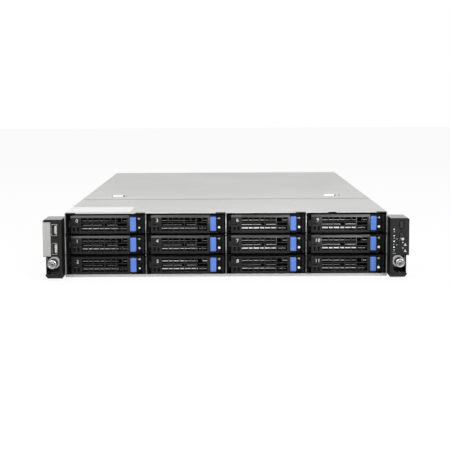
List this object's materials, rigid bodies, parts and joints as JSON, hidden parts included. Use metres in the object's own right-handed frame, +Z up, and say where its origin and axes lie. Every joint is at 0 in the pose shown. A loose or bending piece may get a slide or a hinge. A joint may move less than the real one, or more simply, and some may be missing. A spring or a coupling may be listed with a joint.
{
  "type": "rack server",
  "caption": "Two-unit rack server with hot-swap drive trays, rack ears with thumbscrews, a sliding lid, fans, boards and pluggable power supplies.",
  "frame": {"origin": "centre of the underside of the base pan", "axes": "+X to the right seen from the front, +Y to the rear, +Z up"},
  "size_m": [0.488, 0.8337, 0.0875],
  "materials": {
    "galvanised": "galvanised sheet, matt",
    "cage_steel": "galvanised sheet, matt",
    "tray": "black moulded tray holding a cast drive",
    "lever": "fine texture",
    "button_blue": "satin",
    "board_green": "solder mask",
    "fan_black": "moulded",
    "sink": "extruded",
    "psu_case": "plain sheet",
    "ear_black": "fine texture",
    "screw": "nickel plated",
    "port_shell": "nickel plated",
    "key_grey": "satin",
    "tag_white": "satin"
  },
  "bodies": {
    "chassis": {"chassis_pan": "galvanised", "front_top_plate": "galvanised", "drive_cage": "cage_steel", "backplane": "board_green", "fan_housings": "fan_black", "motherboard": "board_green", "cpu_heatsinks": "sink", "memory_modules": "board_green", "left_ear": "ear_black", "right_ear": "ear_black", "rear_panel": "galvanised", "slot_covers": "galvanised", "port_shells": "port_shell"},
    "tray_00": {"drive_tray_00": "tray"},
    "lever_00": {"tray_lever_00": "lever"},
    "button_00": {"tray_button_00": "button_blue"},
    "tray_01": {"drive_tray_01": "tray"},
    "lever_01": {"tray_lever_01": "lever"},
    "button_01": {"tray_button_01": "button_blue"},
    "tray_02": {"drive_tray_02": "tray"},
    "lever_02": {"tray_lever_02": "lever"},
    "button_02": {"tray_button_02": "button_blue"},
    "tray_03": {"drive_tray_03": "tray"},
    "lever_03": {"tray_lever_03": "lever"},
    "button_03": {"tray_button_03": "button_blue"},
    "tray_04": {"drive_tray_04": "tray"},
    "lever_04": {"tray_lever_04": "lever"},
    "button_04": {"tray_button_04": "button_blue"},
    "tray_05": {"drive_tray_05": "tray"},
    "lever_05": {"tray_lever_05": "lever"},
    "button_05": {"tray_button_05": "button_blue"},
    "tray_06": {"drive_tray_06": "tray"},
    "lever_06": {"tray_lever_06": "lever"},
    "button_06": {"tray_button_06": "button_blue"},
    "tray_07": {"drive_tray_07": "tray"},
    "lever_07": {"tray_lever_07": "lever"},
    "button_07": {"tray_button_07": "button_blue"},
    "tray_08": {"drive_tray_08": "tray"},
    "lever_08": {"tray_lever_08": "lever"},
    "button_08": {"tray_button_08": "button_blue"},
    "tray_09": {"drive_tray_09": "tray"},
    "lever_09": {"tray_lever_09": "lever"},
    "button_09": {"tray_button_09": "button_blue"},
    "tray_10": {"drive_tray_10": "tray"},
    "lever_10": {"tray_lever_10": "lever"},
    "button_10": {"tray_button_10": "button_blue"},
    "tray_11": {"drive_tray_11": "tray"},
    "lever_11": {"tray_lever_11": "lever"},
    "button_11": {"tray_button_11": "button_blue"},
    "lid": {"rear_lid": "galvanised"},
    "fan_1": {"fan_rotor_1": "fan_black"},
    "fan_2": {"fan_rotor_2": "fan_black"},
    "fan_3": {"fan_rotor_3": "fan_black"},
    "psu_1": {"power_supply_1": "psu_case"},
    "psu_2": {"power_supply_2": "psu_case"},
    "left_screw": {"left_thumbscrew": "screw"},
    "right_screw": {"right_thumbscrew": "screw"},
    "power_key": {"power_button": "key_grey"},
    "id_key": {"id_button": "key_grey"},
    "tag": {"pull_out_tag": "tag_white"}
  },
  "joints": [
    {"name": "tray_slide_00", "type": "slide", "parent": "chassis", "child": "tray_00", "axis": [0, -1, 0], "range_m": [0, 0.17]},
    {"name": "lever_hinge_00", "type": "hinge", "parent": "tray_00", "child": "lever_00", "pos_m": [-0.2085, -0.3854, 0.072], "axis": [0, 0, -1], "range_deg": [0, 70]},
    {"name": "button_press_00", "type": "slide", "parent": "tray_00", "child": "button_00", "axis": [0, 1, 0], "range_m": [0, 0.0016], "stiffness_N_per_m": 300},
    {"name": "tray_slide_01", "type": "slide", "parent": "chassis", "child": "tray_01", "axis": [0, -1, 0], "range_m": [0, 0.17]},
    {"name": "lever_hinge_01", "type": "hinge", "parent": "tray_01", "child": "lever_01", "pos_m": [-0.2085, -0.3854, 0.044], "axis": [0, 0, -1], "range_deg": [0, 70]},
    {"name": "button_press_01", "type": "slide", "parent": "tray_01", "child": "button_01", "axis": [0, 1, 0], "range_m": [0, 0.0016], "stiffness_N_per_m": 300},
    {"name": "tray_slide_02", "type": "slide", "parent": "chassis", "child": "tray_02", "axis": [0, -1, 0], "range_m": [0, 0.17]},
    {"name": "lever_hinge_02", "type": "hinge", "parent": "tray_02", "child": "lever_02", "pos_m": [-0.2085, -0.3854, 0.016], "axis": [0, 0, -1], "range_deg": [0, 70]},
    {"name": "button_press_02", "type": "slide", "parent": "tray_02", "child": "button_02", "axis": [0, 1, 0], "range_m": [0, 0.0016], "stiffness_N_per_m": 300},
    {"name": "tray_slide_03", "type": "slide", "parent": "chassis", "child": "tray_03", "axis": [0, -1, 0], "range_m": [0, 0.17]},
    {"name": "lever_hinge_03", "type": "hinge", "parent": "tray_03", "child": "lever_03", "pos_m": [-0.0995, -0.3854, 0.072], "axis": [0, 0, -1], "range_deg": [0, 70]},
    {"name": "button_press_03", "type": "slide", "parent": "tray_03", "child": "button_03", "axis": [0, 1, 0], "range_m": [0, 0.0016], "stiffness_N_per_m": 300},
    {"name": "tray_slide_04", "type": "slide", "parent": "chassis", "child": "tray_04", "axis": [0, -1, 0], "range_m": [0, 0.17]},
    {"name": "lever_hinge_04", "type": "hinge", "parent": "tray_04", "child": "lever_04", "pos_m": [-0.0995, -0.3854, 0.044], "axis": [0, 0, -1], "range_deg": [0, 70]},
    {"name": "button_press_04", "type": "slide", "parent": "tray_04", "child": "button_04", "axis": [0, 1, 0], "range_m": [0, 0.0016], "stiffness_N_per_m": 300},
    {"name": "tray_slide_05", "type": "slide", "parent": "chassis", "child": "tray_05", "axis": [0, -1, 0], "range_m": [0, 0.17]},
    {"name": "lever_hinge_05", "type": "hinge", "parent": "tray_05", "child": "lever_05", "pos_m": [-0.0995, -0.3854, 0.016], "axis": [0, 0, -1], "range_deg": [0, 70]},
    {"name": "button_press_05", "type": "slide", "parent": "tray_05", "child": "button_05", "axis": [0, 1, 0], "range_m": [0, 0.0016], "stiffness_N_per_m": 300},
    {"name": "tray_slide_06", "type": "slide", "parent": "chassis", "child": "tray_06", "axis": [0, -1, 0], "range_m": [0, 0.17]},
    {"name": "lever_hinge_06", "type": "hinge", "parent": "tray_06", "child": "lever_06", "pos_m": [0.0095, -0.3854, 0.072], "axis": [0, 0, -1], "range_deg": [0, 70]},
    {"name": "button_press_06", "type": "slide", "parent": "tray_06", "child": "button_06", "axis": [0, 1, 0], "range_m": [0, 0.0016], "stiffness_N_per_m": 300},
    {"name": "tray_slide_07", "type": "slide", "parent": "chassis", "child": "tray_07", "axis": [0, -1, 0], "range_m": [0, 0.17]},
    {"name": "lever_hinge_07", "type": "hinge", "parent": "tray_07", "child": "lever_07", "pos_m": [0.0095, -0.3854, 0.044], "axis": [0, 0, -1], "range_deg": [0, 70]},
    {"name": "button_press_07", "type": "slide", "parent": "tray_07", "child": "button_07", "axis": [0, 1, 0], "range_m": [0, 0.0016], "stiffness_N_per_m": 300},
    {"name": "tray_slide_08", "type": "slide", "parent": "chassis", "child": "tray_08", "axis": [0, -1, 0], "range_m": [0, 0.17]},
    {"name": "lever_hinge_08", "type": "hinge", "parent": "tray_08", "child": "lever_08", "pos_m": [0.0095, -0.3854, 0.016], "axis": [0, 0, -1], "range_deg": [0, 70]},
    {"name": "button_press_08", "type": "slide", "parent": "tray_08", "child": "button_08", "axis": [0, 1, 0], "range_m": [0, 0.0016], "stiffness_N_per_m": 300},
    {"name": "tray_slide_09", "type": "slide", "parent": "chassis", "child": "tray_09", "axis": [0, -1, 0], "range_m": [0, 0.17]},
    {"name": "lever_hinge_09", "type": "hinge", "parent": "tray_09", "child": "lever_09", "pos_m": [0.1185, -0.3854, 0.072], "axis": [0, 0, -1], "range_deg": [0, 70]},
    {"name": "button_press_09", "type": "slide", "parent": "tray_09", "child": "button_09", "axis": [0, 1, 0], "range_m": [0, 0.0016], "stiffness_N_per_m": 300},
    {"name": "tray_slide_10", "type": "slide", "parent": "chassis", "child": "tray_10", "axis": [0, -1, 0], "range_m": [0, 0.17]},
    {"name": "lever_hinge_10", "type": "hinge", "parent": "tray_10", "child": "lever_10", "pos_m": [0.1185, -0.3854, 0.044], "axis": [0, 0, -1], "range_deg": [0, 70]},
    {"name": "button_press_10", "type": "slide", "parent": "tray_10", "child": "button_10", "axis": [0, 1, 0], "range_m": [0, 0.0016], "stiffness_N_per_m": 300},
    {"name": "tray_slide_11", "type": "slide", "parent": "chassis", "child": "tray_11", "axis": [0, -1, 0], "range_m": [0, 0.17]},
    {"name": "lever_hinge_11", "type": "hinge", "parent": "tray_11", "child": "lever_11", "pos_m": [0.1185, -0.3854, 0.016], "axis": [0, 0, -1], "range_deg": [0, 70]},
    {"name": "button_press_11", "type": "slide", "parent": "tray_11", "child": "button_11", "axis": [0, 1, 0], "range_m": [0, 0.0016], "stiffness_N_per_m": 300},
    {"name": "lid_slide", "type": "slide", "parent": "chassis", "child": "lid", "axis": [0, 1, 0], "range_m": [0, 0.59]},
    {"name": "fan_spin_1", "type": "hinge", "parent": "chassis", "child": "fan_1", "pos_m": [-0.13, -0.161, 0.041], "axis": [0, 1, 0], "continuous": true},
    {"name": "fan_spin_2", "type": "hinge", "parent": "chassis", "child": "fan_2", "pos_m": [0, -0.161, 0.041], "axis": [0, 1, 0], "continuous": true},
    {"name": "fan_spin_3", "type": "hinge", "parent": "chassis", "child": "fan_3", "pos_m": [0.13, -0.161, 0.041], "axis": [0, 1, 0], "continuous": true},
    {"name": "psu_slide_1", "type": "slide", "parent": "chassis", "child": "psu_1", "axis": [0, 1, 0], "range_m": [0, 0.27]},
    {"name": "psu_slide_2", "type": "slide", "parent": "chassis", "child": "psu_2", "axis": [0, 1, 0], "range_m": [0, 0.27]},
    {"name": "left_screw_push", "type": "slide", "parent": "chassis", "child": "left_screw", "axis": [0, 1, 0], "range_m": [0, 0.008], "stiffness_N_per_m": 200},
    {"name": "right_screw_push", "type": "slide", "parent": "chassis", "child": "right_screw", "axis": [0, 1, 0], "range_m": [0, 0.008], "stiffness_N_per_m": 200},
    {"name": "power_button_press", "type": "slide", "parent": "chassis", "child": "power_key", "axis": [0, 1, 0], "range_m": [0, 0.001], "stiffness_N_per_m": 200},
    {"name": "id_button_press", "type": "slide", "parent": "chassis", "child": "id_key", "axis": [0, 1, 0], "range_m": [0, 0.001], "stiffness_N_per_m": 200},
    {"name": "tag_slide", "type": "slide", "parent": "chassis", "child": "tag", "axis": [0, -1, 0], "range_m": [0, 0.03]}
  ]
}
